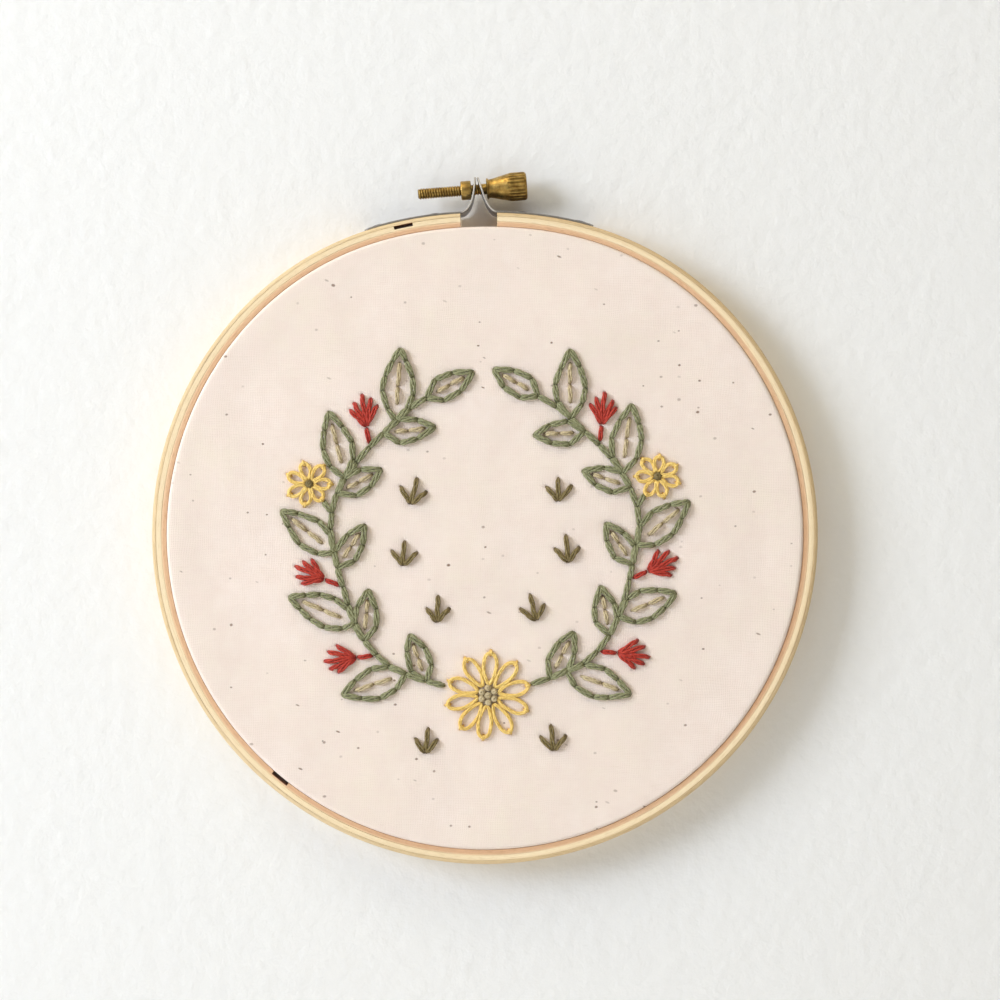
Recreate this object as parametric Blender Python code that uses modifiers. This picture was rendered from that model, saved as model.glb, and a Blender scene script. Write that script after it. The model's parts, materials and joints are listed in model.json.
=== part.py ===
"""Hoop embroidery art: a cotton cloth stretched in a wooden screw hoop.

The cloth faces -Y and +Z is up. The origin is the underside of the clamp screw, midway between the
ears and midway through the depth, where the hoop hangs. Sizes are in millimetres and angles are in
degrees, clockwise from the clamp as seen from the front; the objects are in metres.
"""

import math

import bmesh
import bpy
from mathutils import Matrix, Vector
from mathutils.geometry import interpolate_bezier

MM = 0.001
CLEARANCE = 0.3  # between any two pieces
FINE_CLEARANCE = 0.25  # between the small metal pieces
MERGE_DISTANCE = 0.01
SHARP_ANGLE = 35

# The two rings. The squeeze flattens every ring alike near the clamp and makes it a little wide.
INNER_HOOP_RADIUS = 76.2  # outer face of the inner ring, which sets the nominal six inches
INNER_HOOP_THICKNESS = 4.0
INNER_HOOP_EDGE = 0.6
OUTER_HOOP_THICKNESS = 3.85
OUTER_HOOP_OUTER_EDGE = 1.0
OUTER_HOOP_INNER_EDGE = 0.3
HOOP_DEPTH = 10.0
OVAL = 0.33
CLAMP_FLAT = 1.95
CLAMP_FLAT_SPREAD = 25.0
CLAMP_GAP = 9.1
RING_STEPS = 96
EDGE_STEPS = 3

# The cloth: a drum face with a rim that runs back between the rings
CLOTH_THICKNESS = 1.0
CLOTH_PROUD = 0.6  # of the outer ring's front face
CLOTH_EDGE = 1.4
CLOTH_INNER_EDGE = 0.4
CLOTH_SHORT_OF_BACK = 0.5
INNER_HOOP_SHORT_OF_BACK = 0.3

# Slots where the ends of a ply don't meet: angle, depth of the near side below the outer face
PLY_SLOTS = {"middle_ply": (-13.7, 1.05), "inner_ply": (-138.9, 2.75)}
PLY_SLOT_LENGTH = 4.9
PLY_SLOT_WIDTH = 0.95

# The clamp screw, and where it crosses above the middle of the hoop
SCREW_HEIGHT = 85.5
SCREW_TILT = 3.3
SHANK_RADIUS = 1.25
SHANK_LEFT_END = -15.0
TURN_STEPS = 32

# The knob's turned outline: distance from the middle along the screw, radius
KNOB_OUTLINE = (
    (2.05, 2.35),
    (2.15, 2.6),
    (2.5, 2.6),
    (2.6, 2.3),
    (3.6, 2.35),
    (5.0, 2.65),
    (6.5, 3.05),
    (7.5, 3.4),
    (8.0, 3.5),
    (11.4, 3.5),
    (11.9, 3.35),
    (12.1, 3.0),
)

NUT_RIGHT_FACE = -2.05
NUT_LENGTH = 2.75
NUT_RADIUS = 2.35
NUT_EDGE = 0.25

# Sheet steel brackets: a strap along the outer ring, then an ear that curves up to the screw
STRAP_THICKNESS = 0.45
STRAP_WIDTH = 8.5
STRAP_ANGLE = 20.5
STRAP_INNER_END = 4.6  # from the middle of the clamp
STRAP_STEPS = 12
EAR_STEPS = 14
EAR_TIP_WIDTH = 2.0

# Each ear's bend: distance from the middle, height above the screw, at its foot, flank and tip
EAR_BENDS = {
    "left": ((2.2, -5.6), (1.15, -2.5), (0.8, 2.6)),
    "right": ((2.6, -5.6), (1.5, -2.3), (0.4, 2.6)),
}
SIDES = {"left": -1, "right": 1}

RIVET_ANGLES = {"near": 8.0, "far": 18.3}
RIVET_HEAD_RADIUS = 1.9
RIVET_RIM_HEIGHT = 0.15
RIVET_DOME_HEIGHT = 0.45
RIVET_SHANK_RADIUS = 0.6
RIVET_SHANK_IN_WOOD = 2.4
RIVET_STEPS = 20
DOME_STEPS = 3
HOLE_STEPS = 24

# Worked out from the sizes above
OUTER_HOOP_INSIDE = INNER_HOOP_RADIUS + CLEARANCE + CLOTH_THICKNESS + CLEARANCE
OUTER_HOOP_OUTSIDE = OUTER_HOOP_INSIDE + OUTER_HOOP_THICKNESS
FRONT = -HOOP_DEPTH / 2
BACK = HOOP_DEPTH / 2
CLOTH_FRONT = FRONT - CLOTH_PROUD
SCREW_AXIS_Z = SHANK_RADIUS
HOOP_CENTRE_Z = SCREW_AXIS_Z - SCREW_HEIGHT
STRAP_LIFT = FINE_CLEARANCE + STRAP_THICKNESS

# Colour, roughness, metallic
MATERIALS = {
    "pale_outer_wood": ((0.78, 0.60, 0.38), 0.55, 0.0),
    "pale_inner_wood": ((0.74, 0.55, 0.34), 0.6, 0.0),
    "cotton_calico": ((0.83, 0.75, 0.68), 0.9, 0.0),
    "sheet_steel": ((0.45, 0.45, 0.46), 0.4, 1.0),
    "aged_brass": ((0.42, 0.28, 0.10), 0.35, 1.0),
}


def clear_scene():
    for obj in list(bpy.data.objects):
        bpy.data.objects.remove(obj)


def new_collection(name):
    collection = bpy.data.collections.new(name)
    bpy.context.scene.collection.children.link(collection)
    return collection


def new_material(name):
    colour, roughness, metallic = MATERIALS[name]
    material = bpy.data.materials.new(name)
    material.use_nodes = True
    shader = material.node_tree.nodes["Principled BSDF"]
    shader.inputs["Base Color"].default_value = (*colour, 1)
    shader.inputs["Roughness"].default_value = roughness
    shader.inputs["Metallic"].default_value = metallic
    material.diffuse_color = (*colour, 1)
    return material


def new_object(name, mesh, collection, material=None):
    obj = bpy.data.objects.new(name, mesh)
    collection.objects.link(obj)
    if material:
        mesh.materials.append(material)
    return obj


def rounded_corner(before, corner, after, rounding):
    """Points of the arc that takes the place of a square corner."""
    start = (before - corner).normalized() * rounding
    end = (after - corner).normalized() * rounding
    centre = corner + start + end
    points = []
    for step in range(EDGE_STEPS + 1):
        turn = math.radians(90) * step / EDGE_STEPS
        points.append(centre - end * math.cos(turn) - start * math.sin(turn))
    return points


def rounded_path(corners, closed):
    """A path through (radius, depth, rounding) corners, each square corner taken back to an arc."""
    spots = [Vector((radius, depth)) for radius, depth, _ in corners]
    points = []
    for index, (_, _, rounding) in enumerate(corners):
        if rounding:
            before = spots[index - 1]
            after = spots[(index + 1) % len(spots)]
            points += rounded_corner(before, spots[index], after, rounding)
        else:
            points.append(spots[index])
    return points + points[:1] if closed else points


def profile_mesh(name, points, axis):
    """A chain of edges through (radius, along) points, which closes where its ends meet."""
    mesh = bpy.data.meshes.new(name)
    shell = bmesh.new()
    closed = (points[0] - points[-1]).length == 0
    verts = []
    for radius, along in points[:-1] if closed else points:
        place = (radius, along, 0) if axis == "Y" else (radius, 0, along)
        verts.append(shell.verts.new(Vector(place) * MM))
    for first, second in zip(verts, verts[1:] + verts[:1] if closed else verts[1:]):
        shell.edges.new((first, second))
    shell.to_mesh(mesh)
    shell.free()
    return mesh


def add_screw(obj, axis, steps):
    turn = obj.modifiers.new("Turn", "SCREW")
    turn.axis = axis
    turn.steps = steps
    turn.render_steps = steps
    turn.use_merge_vertices = True
    turn.merge_threshold = MERGE_DISTANCE * MM


def squeeze(angle):
    """Share of its round radius that a ring keeps at this angle from the clamp."""
    flat = CLAMP_FLAT * math.exp(-((angle / CLAMP_FLAT_SPREAD) ** 2))
    oval = OVAL * math.cos(math.radians(2 * angle))
    return 1 - (oval + flat) / INNER_HOOP_RADIUS


def ring_point(radius, angle, lift=0.0):
    """Where a ring of this round radius passes at this angle, lifted outward, in the XZ plane."""
    reach = radius * squeeze(angle) + lift
    turn = math.radians(angle)
    return Vector((reach * math.sin(turn), 0, HOOP_CENTRE_Z + reach * math.cos(turn)))


def squeezed_ring(name, points, collection, material):
    """Turns the profile about the hoop's middle, then squeezes it to the hoop's outline."""
    obj = new_object(name, profile_mesh(name, points, "Y"), collection, material)
    add_screw(obj, "Y", RING_STEPS)
    graph = bpy.context.evaluated_depsgraph_get()
    turned = bpy.data.meshes.new_from_object(obj.evaluated_get(graph))
    obj.modifiers.clear()
    obj.data = turned
    shell = bmesh.new()
    shell.from_mesh(turned)
    for vert in shell.verts:
        share = squeeze(math.degrees(math.atan2(vert.co.x, vert.co.z)))
        vert.co.x *= share
        vert.co.z *= share
    bmesh.ops.recalc_face_normals(shell, faces=shell.faces)
    shell.to_mesh(turned)
    shell.free()
    obj.location.z = HOOP_CENTRE_Z * MM
    smooth(obj)
    return obj


def smooth(obj):
    obj.data.shade_smooth()
    obj.data.set_sharp_from_angle(angle=math.radians(SHARP_ANGLE))


def new_cutter(name, shell, place, collection):
    """A cutter from a bmesh in millimetres, placed by a matrix in millimetres."""
    mesh = bpy.data.meshes.new(name)
    shell.to_mesh(mesh)
    shell.free()
    mesh.transform(Matrix.Scale(MM, 4) @ place)
    cutter = new_object(name, mesh, collection)
    cutter.hide_render = True
    cutter.display_type = "WIRE"
    return cutter


def box_cutter(name, sides, place, collection):
    shell = bmesh.new()
    bmesh.ops.create_cube(shell, size=1, matrix=Matrix.Diagonal((*sides, 1)))
    return new_cutter(name, shell, place, collection)


def round_cutter(name, radius, length, place, collection):
    """A cylinder along its own Z, centred on its place."""
    shell = bmesh.new()
    bmesh.ops.create_cone(
        shell,
        cap_ends=True,
        segments=HOLE_STEPS,
        radius1=radius,
        radius2=radius,
        depth=length,
    )
    return new_cutter(name, shell, place, collection)


def cut(obj, cutter):
    boolean = obj.modifiers.new(cutter.name, "BOOLEAN")
    boolean.operation = "DIFFERENCE"
    boolean.object = cutter


def standing_out(angle, lift):
    """The matrix that puts a piece's Z axis along the hoop's radius, on the outer face."""
    place = ring_point(OUTER_HOOP_OUTSIDE, angle, lift)
    return Matrix.Translation(place) @ Matrix.Rotation(math.radians(angle), 4, "Y")


def along_screw():
    """The matrix that puts a piece's Z axis along the screw, towards its knob."""
    turn = Matrix.Rotation(math.radians(90 - SCREW_TILT), 4, "Y")
    return Matrix.Translation((0, 0, SCREW_AXIS_Z)) @ turn


def place_at(obj, matrix):
    obj.matrix_world = Matrix.Translation(matrix.translation * MM) @ matrix.to_3x3().to_4x4()


def make_outer_hoop(parts, cutters, material):
    corners = [
        (OUTER_HOOP_INSIDE, FRONT, OUTER_HOOP_INNER_EDGE),
        (OUTER_HOOP_OUTSIDE, FRONT, OUTER_HOOP_OUTER_EDGE),
        (OUTER_HOOP_OUTSIDE, BACK, OUTER_HOOP_OUTER_EDGE),
        (OUTER_HOOP_INSIDE, BACK, OUTER_HOOP_INNER_EDGE),
    ]
    hoop = squeezed_ring("outer_hoop", rounded_path(corners, True), parts, material)
    through = 2 * HOOP_DEPTH
    middle = Matrix.Translation(ring_point(OUTER_HOOP_OUTSIDE, 0))
    gap_sides = (CLAMP_GAP, through, 6 * OUTER_HOOP_THICKNESS)
    cut(hoop, box_cutter("clamp_gap", gap_sides, middle, cutters))
    for name, (angle, near_side) in PLY_SLOTS.items():
        sides = (PLY_SLOT_LENGTH, through, PLY_SLOT_WIDTH)
        place = standing_out(angle, -near_side - PLY_SLOT_WIDTH / 2)
        cut(hoop, box_cutter(name + "_slot", sides, place, cutters))
    return hoop


def make_inner_hoop(parts, material):
    inside = INNER_HOOP_RADIUS - INNER_HOOP_THICKNESS
    front = CLOTH_FRONT + CLOTH_THICKNESS + CLEARANCE
    back = BACK - INNER_HOOP_SHORT_OF_BACK
    corners = [
        (inside, front, INNER_HOOP_EDGE),
        (INNER_HOOP_RADIUS, front, INNER_HOOP_EDGE),
        (INNER_HOOP_RADIUS, back, INNER_HOOP_EDGE),
        (inside, back, INNER_HOOP_EDGE),
    ]
    return squeezed_ring("inner_hoop", rounded_path(corners, True), parts, material)


def make_cloth(parts, material):
    rim_inside = INNER_HOOP_RADIUS + CLEARANCE
    rim_outside = rim_inside + CLOTH_THICKNESS
    rim_end = BACK - CLOTH_SHORT_OF_BACK
    corners = [
        (0, CLOTH_FRONT, 0),
        (rim_outside, CLOTH_FRONT, CLOTH_EDGE),
        (rim_outside, rim_end, 0),
        (rim_inside, rim_end, 0),
        (rim_inside, CLOTH_FRONT + CLOTH_THICKNESS, CLOTH_INNER_EDGE),
        (0, CLOTH_FRONT + CLOTH_THICKNESS, 0),
    ]
    return squeezed_ring("cloth", rounded_path(corners, False), parts, material)


def bracket_path(side_name):
    """The outer line of a bracket: (distance from the middle, Z) points from strap end to ear tip."""
    points = []
    rise = STRAP_LIFT
    inner_angle = math.degrees(math.asin(STRAP_INNER_END / OUTER_HOOP_OUTSIDE))
    for step in range(STRAP_STEPS + 1):
        angle = STRAP_ANGLE + (inner_angle - STRAP_ANGLE) * step / STRAP_STEPS
        spot = ring_point(OUTER_HOOP_OUTSIDE, angle, rise)
        points.append(Vector((spot.x, spot.z)))
    foot, flank, tip = (Vector((x, z + SCREW_AXIS_Z)) for x, z in EAR_BENDS[side_name])
    ear = interpolate_bezier(points[-1], foot, flank, tip, EAR_STEPS + 1)
    return points + [Vector((spot[0], spot[1])) for spot in ear[1:]]


def half_width(height, tip_height):
    """Half of a bracket's width in depth: full along the strap, and a round end on the ear."""
    radius = STRAP_WIDTH / 2
    past = height - (tip_height - radius)
    if past <= 0:
        return radius
    return max(EAR_TIP_WIDTH / 2, math.sqrt(max(0, radius**2 - past**2)))


def make_bracket(side_name, screw_hole, parts, material):
    side = SIDES[side_name]
    path = bracket_path(side_name)
    shell = bmesh.new()
    rows = []
    for across, height in path:
        reach = half_width(height, path[-1].y)
        rows.append([shell.verts.new(Vector((side * across, y, height)) * MM) for y in (-reach, reach)])
    for (front, back), (next_front, next_back) in zip(rows, rows[1:]):
        corners = (front, next_front, next_back, back)
        shell.faces.new(corners if side < 0 else corners[::-1])
    mesh = bpy.data.meshes.new("bracket_" + side_name)
    shell.to_mesh(mesh)
    shell.free()
    bracket = new_object("bracket_" + side_name, mesh, parts, material)
    sheet = bracket.modifiers.new("Sheet", "SOLIDIFY")
    sheet.thickness = STRAP_THICKNESS * MM
    sheet.offset = -1
    sheet.use_even_offset = True
    cut(bracket, screw_hole)
    smooth(bracket)
    return bracket


def turned_piece(name, outline, matrix, steps, parts, material):
    """A piece turned about its own Z axis from (radius, along) points, top to bottom."""
    points = [Vector(point) for point in outline]
    obj = new_object(name, profile_mesh(name, points, "Z"), parts, material)
    add_screw(obj, "Z", steps)
    place_at(obj, matrix)
    return obj


def make_rivet(side_name, spot_name, pierced, parts, cutters, material):
    """A domed rivet, and its hole through everything that it pierces."""
    angle = SIDES[side_name] * RIVET_ANGLES[spot_name]
    name = f"rivet_{side_name}_{spot_name}"
    seat = STRAP_LIFT + FINE_CLEARANCE
    rim = seat + RIVET_RIM_HEIGHT
    outline = []
    for step in range(DOME_STEPS + 1):
        lean = math.radians(90) * step / DOME_STEPS
        across = RIVET_HEAD_RADIUS * math.sin(lean)
        outline.append((across, rim + RIVET_DOME_HEIGHT * math.cos(lean)))
    outline += [
        (RIVET_HEAD_RADIUS, seat),
        (RIVET_SHANK_RADIUS, seat),
        (RIVET_SHANK_RADIUS, -RIVET_SHANK_IN_WOOD),
        (0, -RIVET_SHANK_IN_WOOD),
    ]
    rivet = turned_piece(name, outline, standing_out(angle, 0), RIVET_STEPS, parts, material)
    hole_bottom = -RIVET_SHANK_IN_WOOD - FINE_CLEARANCE
    hole_top = seat + RIVET_DOME_HEIGHT
    hole = round_cutter(
        name + "_hole",
        RIVET_SHANK_RADIUS + FINE_CLEARANCE,
        hole_top - hole_bottom,
        standing_out(angle, (hole_top + hole_bottom) / 2),
        cutters,
    )
    for obj in pierced:
        cut(obj, hole)
    return rivet


def make_thumbscrew(parts, material):
    """The rod and its knob, one turned piece, with its origin on the axis that it turns about."""
    knob = [(radius, along) for along, radius in reversed(KNOB_OUTLINE)]
    outline = [
        (0, KNOB_OUTLINE[-1][0]),
        *knob,
        (SHANK_RADIUS, KNOB_OUTLINE[0][0]),
        (SHANK_RADIUS, SHANK_LEFT_END + NUT_EDGE),
        (SHANK_RADIUS - NUT_EDGE, SHANK_LEFT_END),
        (0, SHANK_LEFT_END),
    ]
    return turned_piece("thumbscrew", outline, along_screw(), TURN_STEPS, parts, material)


def make_nut(parts, material):
    bore = SHANK_RADIUS + FINE_CLEARANCE
    right = NUT_RIGHT_FACE
    left = NUT_RIGHT_FACE - NUT_LENGTH
    outline = [
        (bore, right),
        (NUT_RADIUS - NUT_EDGE, right),
        (NUT_RADIUS, right - NUT_EDGE),
        (NUT_RADIUS, left + NUT_EDGE),
        (NUT_RADIUS - NUT_EDGE, left),
        (bore, left),
        (bore, right),
    ]
    return turned_piece("nut", outline, along_screw(), TURN_STEPS, parts, material)


def main():
    clear_scene()
    parts = new_collection("hoop_embroidery_art")
    cutters = new_collection("cutters")
    cutters.hide_render = True
    wood, inner_wood, cotton, steel, brass = (new_material(name) for name in MATERIALS)
    outer_hoop = make_outer_hoop(parts, cutters, wood)
    make_inner_hoop(parts, inner_wood)
    make_cloth(parts, cotton)
    hole_radius = SHANK_RADIUS + CLEARANCE
    screw_hole = round_cutter("screw_hole", hole_radius, 2 * STRAP_WIDTH, along_screw(), cutters)
    for side_name in SIDES:
        bracket = make_bracket(side_name, screw_hole, parts, steel)
        for spot_name in RIVET_ANGLES:
            make_rivet(side_name, spot_name, (bracket, outer_hoop), parts, cutters, steel)
    make_nut(parts, brass)
    make_thumbscrew(parts, brass)


main()
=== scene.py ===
"""The looks of the hoop embroidery art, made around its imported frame.

The embroidered face looks along -Y and +Z is up. Sizes are in millimetres and become metres where a
mesh, light or camera is made. Angles are in degrees, clockwise from the clamp as seen from the front.
"""

import json
import math

import bmesh
import bpy
import numpy as np
from mathutils import Matrix, Vector
from mathutils.geometry import delaunay_2d_cdt, interpolate_bezier


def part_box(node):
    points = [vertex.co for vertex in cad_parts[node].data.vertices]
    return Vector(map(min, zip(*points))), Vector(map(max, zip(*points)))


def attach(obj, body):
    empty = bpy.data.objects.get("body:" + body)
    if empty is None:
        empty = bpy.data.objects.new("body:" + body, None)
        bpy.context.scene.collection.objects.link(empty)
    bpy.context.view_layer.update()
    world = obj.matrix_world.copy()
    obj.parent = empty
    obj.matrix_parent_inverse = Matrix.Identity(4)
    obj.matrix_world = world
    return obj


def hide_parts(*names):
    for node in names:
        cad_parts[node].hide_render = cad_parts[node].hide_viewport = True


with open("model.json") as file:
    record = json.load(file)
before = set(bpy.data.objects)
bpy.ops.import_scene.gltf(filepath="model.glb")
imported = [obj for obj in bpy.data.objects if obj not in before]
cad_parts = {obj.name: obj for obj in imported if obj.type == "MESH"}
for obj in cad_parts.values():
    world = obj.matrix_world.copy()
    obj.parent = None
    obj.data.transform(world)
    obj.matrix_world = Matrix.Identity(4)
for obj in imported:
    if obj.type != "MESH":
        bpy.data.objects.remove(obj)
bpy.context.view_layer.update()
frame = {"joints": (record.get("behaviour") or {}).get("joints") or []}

MM = 0.001

# The rings' outline, as in the frame: a little wide, and flattened near the clamp
RING_RADIUS = 76.2
OVAL = 0.33
CLAMP_FLAT = 1.95
CLAMP_FLAT_SPREAD = 25.0
CLAMP_GAP = 9.1
OUTER_HOOP_INSIDE = 77.8
OUTER_HOOP_THICKNESS = 3.85
OUTER_HOOP_OUTSIDE = OUTER_HOOP_INSIDE + OUTER_HOOP_THICKNESS


def squeeze(angle):
    """Share of its round radius that a ring keeps at this angle from the clamp."""
    folded = (np.asarray(angle, float) + 180) % 360 - 180
    flat = CLAMP_FLAT * np.exp(-((folded / CLAMP_FLAT_SPREAD) ** 2))
    oval = OVAL * np.cos(np.radians(2 * folded))
    return 1 - (oval + flat) / RING_RADIUS


# Places read from the frame
RING_LOW, RING_HIGH = (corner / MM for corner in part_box("outer_hoop"))
FRONT = RING_LOW.y
BACK = RING_HIGH.y
CLOTH_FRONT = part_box("cloth")[0].y / MM
INNER_HOOP_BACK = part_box("inner_hoop")[1].y / MM
HOOP_CENTRE_Z = RING_LOW.z + OUTER_HOOP_OUTSIDE * float(squeeze(180))
SCREW_JOINT = frame["joints"][0]
SCREW_POINT = Vector(SCREW_JOINT["pos_m"]) / MM
SCREW_AXIS = Vector(SCREW_JOINT["axis"])

# The plies of the outer ring, out from its inside face: start, end, inner and outer edge rounding
PLIES = {
    "inner_ply": (0.22, 1.47, 0.12, 0.07),
    "middle_ply": (1.5, 2.77, 0.07, 0.07),
    "outer_ply": (2.8, OUTER_HOOP_THICKNESS, 0.07, 1.0),
}
# Where the ends of a ply don't meet: angle, floor and roof of the slot out from the inside face
PLY_SLOTS = {"middle_ply": (-13.7, 1.98, 2.8), "inner_ply": (-138.9, 0.22, 1.05)}
PLY_SLOT_LENGTH = 4.9
SLOT_EDGE = 0.07
SLOT_HALF_TURN = math.degrees(PLY_SLOT_LENGTH / 2 / OUTER_HOOP_OUTSIDE)
# Light, dark and line colours of each ply, and the colour that it turns to at its outer side
PLY_COLOURS = {
    "inner_ply": ((234, 193, 153), (222, 174, 133), (188, 136, 96), (252, 226, 184)),
    "middle_ply": ((254, 234, 197), (246, 221, 178), (224, 194, 146), (236, 210, 166)),
    "outer_ply": ((231, 206, 163), (218, 188, 141), (186, 152, 106), (224, 196, 150)),
}
PLY_BLEND = 0.5
RING_STEPS = 720
EDGE_STEPS = 5

CLOTH_THICKNESS = 0.35
CLOTH_EDGE = 1.0
CLOTH_RIM_RADIUS = 77.98
CLOTH_RIM_END = 4.4
CLOTH_RIM_STEPS = 480
CLOTH_FINE_PITCH = 1.2
HOLE_RINGS = ((0.26, 6), (0.5, 8), (0.85, 10))
HOLE_DEPTH = 0.36
HOLE_SPREAD = 0.42
PULL_DEPTH = 0.04
PULL_SPREAD = 2.2
INNER_HOOP_INSIDE = 72.3
INNER_HOOP_GAP = 0.06

YARN_PITCH = 0.42
# Threads: strands, width of a stitch
THREADS = {
    "green_thread": (4, 1.62),
    "khaki_thread": (3, 1.25),
    "red_thread": (3, 1.38),
    "yellow_thread": (3, 1.2),
    "olive_thread": (3, 1.4),
}
# Radius of a strand, by the number that lie together
STRAND_RADIUS = {2: 0.26, 3: 0.29, 4: 0.3}
STRAND_TWIST = 1.5  # the length in which a strand's own plies go round once

# Colours as they are painted, 0 to 255: middle, darker, lighter
PALETTE = {
    "green_thread": ((140, 140, 101), (104, 103, 63), (160, 160, 121)),
    "khaki_thread": ((197, 178, 138), (164, 145, 106), (213, 197, 158)),
    "red_thread": ((182, 46, 26), (144, 26, 14), (200, 64, 40)),
    "yellow_thread": ((244, 206, 112), (216, 170, 74), (252, 224, 140)),
    "olive_thread": ((124, 106, 58), (88, 68, 26), (146, 130, 82)),
}


def srgb(red, green, blue):
    """A colour socket's value from painted 0 to 255 values."""
    values = [channel / 255 for channel in (red, green, blue)]
    linear = [v / 12.92 if v <= 0.04045 else ((v + 0.055) / 1.055) ** 2.4 for v in values]
    return (*linear, 1.0)


class Shades:
    """One material's node tree, with short names for the nodes that it uses."""

    def __init__(self, name):
        self.material = bpy.data.materials.new(name)
        self.material.use_nodes = True
        self.tree = self.material.node_tree
        self.shader = self.tree.nodes["Principled BSDF"]

    def feed(self, socket, value):
        if isinstance(value, bpy.types.NodeSocket):
            self.tree.links.new(value, socket)
        else:
            socket.default_value = value

    def node(self, kind, inputs, **settings):
        made = self.tree.nodes.new(kind)
        for name, value in settings.items():
            setattr(made, name, value)
        for key, value in inputs.items():
            self.feed(made.inputs[key], value)
        return made

    def maths(self, operation, *values):
        return self.node("ShaderNodeMath", dict(enumerate(values)), operation=operation).outputs[0]

    def times(self, first, second):
        return self.maths("MULTIPLY", first, second)

    def mix(self, share, first, second):
        inputs = {0: share, 6: first, 7: second}
        return self.node("ShaderNodeMix", inputs, data_type="RGBA").outputs[2]

    def tints(self, base, *layers):
        """A painted colour with others over it: (colour, value, low, high, share at low, at high)."""
        base = srgb(*base)
        for colour, *limits in layers:
            base = self.mix(self.between(*limits), base, srgb(*colour))
        return base

    def place(self):
        """The point on the object, in millimetres."""
        point = self.tree.nodes.new("ShaderNodeTexCoord").outputs["Object"]
        inputs = {0: point, "Scale": 1 / MM}
        return self.node("ShaderNodeVectorMath", inputs, operation="SCALE").outputs[0]

    def split(self, vector):
        made = self.node("ShaderNodeSeparateXYZ", {0: vector})
        return made.outputs[0], made.outputs[1], made.outputs[2]

    def join(self, x, y, z):
        return self.node("ShaderNodeCombineXYZ", {0: x, 1: y, 2: z}).outputs[0]

    def attribute(self, name):
        return self.node("ShaderNodeAttribute", {}, attribute_name=name).outputs["Fac"]

    def noise(self, vector, scale, detail=2.0, roughness=0.5):
        inputs = {"Vector": vector, "Scale": scale, "Detail": detail, "Roughness": roughness}
        return self.node("ShaderNodeTexNoise", inputs).outputs[0]

    def cells(self, x, y, scale):
        """Distance to a flat cell's middle, and three random numbers of that cell."""
        flat = self.join(x, y, 0.0)
        inputs = {"Vector": flat, "Scale": scale}
        made = self.node("ShaderNodeTexVoronoi", inputs, voronoi_dimensions="2D")
        return made.outputs["Distance"], self.split(made.outputs["Color"])

    def between(self, value, low, high, start=0.0, end=1.0):
        """Maps low..high to start..end and stays within them."""
        inputs = {0: value, 1: low, 2: high, 3: start, 4: end}
        return self.node("ShaderNodeMapRange", inputs).outputs[0]

    def bumps(self, *layers):
        """Bumps on top of each other, from pairs of a height and a depth in millimetres."""
        inputs = {}
        for height, depth in layers:
            inputs.update({"Height": height, "Distance": depth * MM})
            inputs["Normal"] = self.node("ShaderNodeBump", inputs).outputs[0]
        return inputs["Normal"]

    def finish(self, **inputs):
        """Feeds the shader's sockets by name, with _ for a space, and gives the material."""
        for name, value in inputs.items():
            self.feed(self.shader.inputs[name.replace("_", " ")], value)
        return self.material


def plain_weave(shades, x, z, pitch):
    """Height of a plain weave, 0 to 1: each yarn goes over one and under the next."""
    turns = [shades.times(shades.maths("DIVIDE", place, pitch), math.pi) for place in (x, z)]
    waves = [shades.maths("SINE", turn) for turn in turns]
    warp, weft = [shades.maths("ABSOLUTE", wave) for wave in waves]
    checker = shades.times(*[shades.maths("SIGN", wave) for wave in waves])
    warp_rise = shades.maths("MULTIPLY_ADD", shades.times(checker, weft), 0.5, 0.5)
    weft_rise = shades.maths("MULTIPLY_ADD", shades.times(checker, warp), -0.5, 0.5)
    return shades.maths("MAXIMUM", shades.times(warp, warp_rise), shades.times(weft, weft_rise))


def flecks(shades, x, z, cell, stretch, share, radius):
    """Sparse seed flecks, 0 to 1: stretched dots in some of the cells, some faint."""
    distance, (pick, size, strength) = shades.cells(shades.times(x, 1 / stretch), z, 1 / cell)
    reach = shades.between(size, 0.0, 1.0, 0.55 * radius / cell, radius / cell)
    edge = shades.maths("DIVIDE", distance, reach)
    dot = shades.between(edge, 0.5, 1.0, 1.0, 0.0)
    chosen = shades.maths("LESS_THAN", pick, share)
    depth = shades.between(strength, 0.2, 1.0, 0.25, 1.0)
    return shades.times(shades.times(dot, chosen), depth)


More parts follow.
